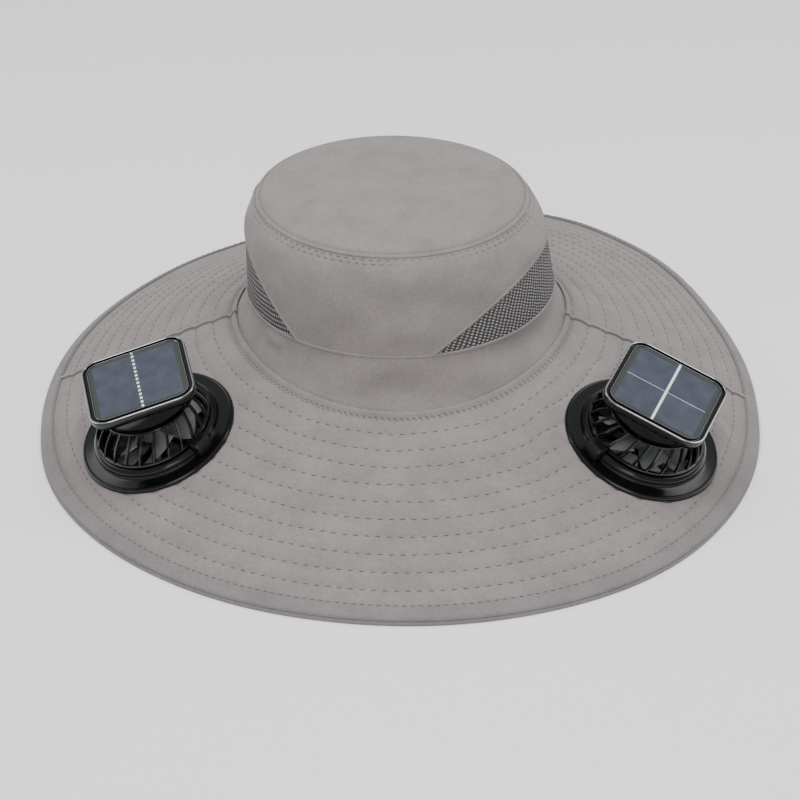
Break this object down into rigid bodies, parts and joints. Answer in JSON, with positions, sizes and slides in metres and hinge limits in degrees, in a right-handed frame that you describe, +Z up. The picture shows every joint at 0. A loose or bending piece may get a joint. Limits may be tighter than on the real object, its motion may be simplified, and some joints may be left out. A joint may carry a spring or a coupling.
{
  "type": "solar fan hat",
  "caption": "Wide-brimmed cloth sun hat with net vents in its crown and solar fans let into the front of its brim.",
  "frame": {"origin": "on the floor under the middle of the brim", "axes": "+Z up through the crown, +Y from the front of the brim to its back"},
  "size_m": [0.3818, 0.4582, 0.1284],
  "materials": {
    "cloth": "matt woven warm grey",
    "vent_net": "dark grey knitted net",
    "black_plastic": "glossy black moulded",
    "blade_plastic": "dark grey moulded",
    "solar_glass": "blue-grey cell under clear glass",
    "panel_trim": "bright thin trim line"
  },
  "bodies": {
    "root": {"brim_front": "cloth", "brim_back": "cloth", "brim_hem": "cloth", "crown_band": "cloth", "crown_front": "cloth", "crown_back": "cloth", "crown_top": "cloth", "vent_left": "vent_net", "vent_right": "vent_net", "fan_left_flange": "black_plastic", "fan_left_clamp": "black_plastic", "fan_left_cage": "black_plastic", "fan_left_latch": "black_plastic", "fan_left_housing": "black_plastic", "fan_left_panel_frame": "black_plastic", "fan_left_solar_plate": "solar_glass", "fan_right_flange": "black_plastic", "fan_right_clamp": "black_plastic", "fan_right_cage": "black_plastic", "fan_right_latch": "black_plastic", "fan_right_housing": "black_plastic", "fan_right_panel_frame": "black_plastic", "fan_right_solar_plate": "solar_glass"},
    "impeller_left": {"fan_left_impeller": "blade_plastic"},
    "impeller_right": {"fan_right_impeller": "blade_plastic"}
  },
  "joints": [
    {"name": "impeller_left_spin", "type": "hinge", "parent": "root", "child": "impeller_left", "pos_m": [-0.1229, -0.09006, 0.02861], "axis": [-0.2355, -0.1588, 0.9588], "continuous": true},
    {"name": "impeller_right_spin", "type": "hinge", "parent": "root", "child": "impeller_right", "pos_m": [0.12103, -0.10524, 0.02717], "axis": [0.3099, -0.2509, 0.9171], "continuous": true}
  ]
}
